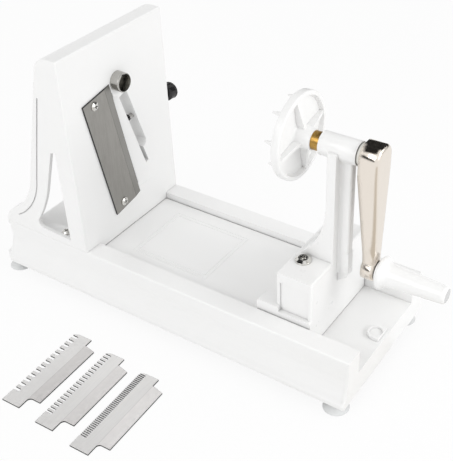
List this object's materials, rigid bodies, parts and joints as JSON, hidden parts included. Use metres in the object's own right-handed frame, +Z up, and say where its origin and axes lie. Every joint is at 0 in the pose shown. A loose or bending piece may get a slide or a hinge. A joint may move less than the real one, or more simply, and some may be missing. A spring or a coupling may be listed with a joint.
{
  "type": "spiralizer",
  "caption": "Hand cranked spiral vegetable cutter: a sliding carriage drives the food with a spiked wheel against an upright blade stand; comb blades lie beside it.",
  "frame": {"origin": "on the table under the middle of the base, half way along and across it", "axes": "+X along the base from the blade stand to the crank, +Y to the side away from the loose comb blades, +Z up"},
  "size_m": [0.3602, 0.2427, 0.205],
  "materials": {
    "white_shell": "satin moulded",
    "white_carriage": "satin moulded",
    "steel_blade": "ground",
    "steel_screw": "plated",
    "chrome_crank": "polished",
    "brass": "knurled",
    "black_knob": "satin moulded",
    "nylon": "natural",
    "grey_rubber": "soft",
    "grey_cap": "satin"
  },
  "bodies": {
    "base": {"base_body": "white_shell", "rubber_feet": "grey_rubber", "carriage_catch": "white_shell", "blade_stand": "white_shell", "stand_screws": "steel_screw", "main_blade": "steel_blade", "main_blade_screws": "steel_screw", "core_tube": "steel_blade", "clamp_insert": "brass"},
    "carriage": {"carriage_plate": "white_carriage", "tower": "white_carriage", "tower_screws": "steel_screw", "tower_nuts": "steel_screw", "shaft_bushings": "nylon"},
    "crank": {"crank_shaft": "steel_screw", "knurled_collar": "brass", "thrust_washer": "nylon", "spiked_wheel": "white_carriage", "wheel_screw": "steel_screw", "crank_arm": "chrome_crank", "handle_spindle": "steel_screw", "spindle_rivet": "steel_screw"},
    "handle": {"handle_grip": "white_carriage", "grip_end_cap": "grey_cap"},
    "clamp_tip": {"clamp_pad": "steel_screw"},
    "clamp_turner": {"clamp_screw": "steel_screw", "clamp_knob": "black_knob"},
    "coarse_comb": {"comb_blade_coarse": "steel_blade"},
    "medium_comb": {"comb_blade_medium": "steel_blade"},
    "fine_comb": {"comb_blade_fine": "steel_blade"}
  },
  "joints": [
    {"name": "carriage_slide", "type": "slide", "parent": "base", "child": "carriage", "axis": [-1, 0, 0], "range_m": [-0.025, 0.132]},
    {"name": "crank_turn", "type": "hinge", "parent": "carriage", "child": "crank", "pos_m": [0.12, 0, 0.1684], "axis": [1, 0, 0], "continuous": true},
    {"name": "handle_spin", "type": "hinge", "parent": "crank", "child": "handle", "pos_m": [0.17, 0, 0.0824], "axis": [1, 0, 0], "continuous": true},
    {"name": "clamp_draw", "type": "slide", "parent": "base", "child": "clamp_tip", "axis": [0, 1, 0], "range_m": [0, 0.003]},
    {"name": "clamp_turn", "type": "hinge", "parent": "clamp_tip", "child": "clamp_turner", "pos_m": [-0.0706, 0.058, 0.1305], "axis": [0, 1, 0], "range_deg": [0, 1350]},
    {"name": "coarse_comb_lift", "type": "slide", "parent": "base", "child": "coarse_comb", "axis": [0, 0, 1], "range_m": [0, 0.06]},
    {"name": "medium_comb_lift", "type": "slide", "parent": "base", "child": "medium_comb", "axis": [0, 0, 1], "range_m": [0, 0.06]},
    {"name": "fine_comb_lift", "type": "slide", "parent": "base", "child": "fine_comb", "axis": [0, 0, 1], "range_m": [0, 0.06]}
  ],
  "couplings": [
    {"joint": "clamp_turn", "follows": "clamp_draw", "rad_per_m": 7853.2}
  ]
}
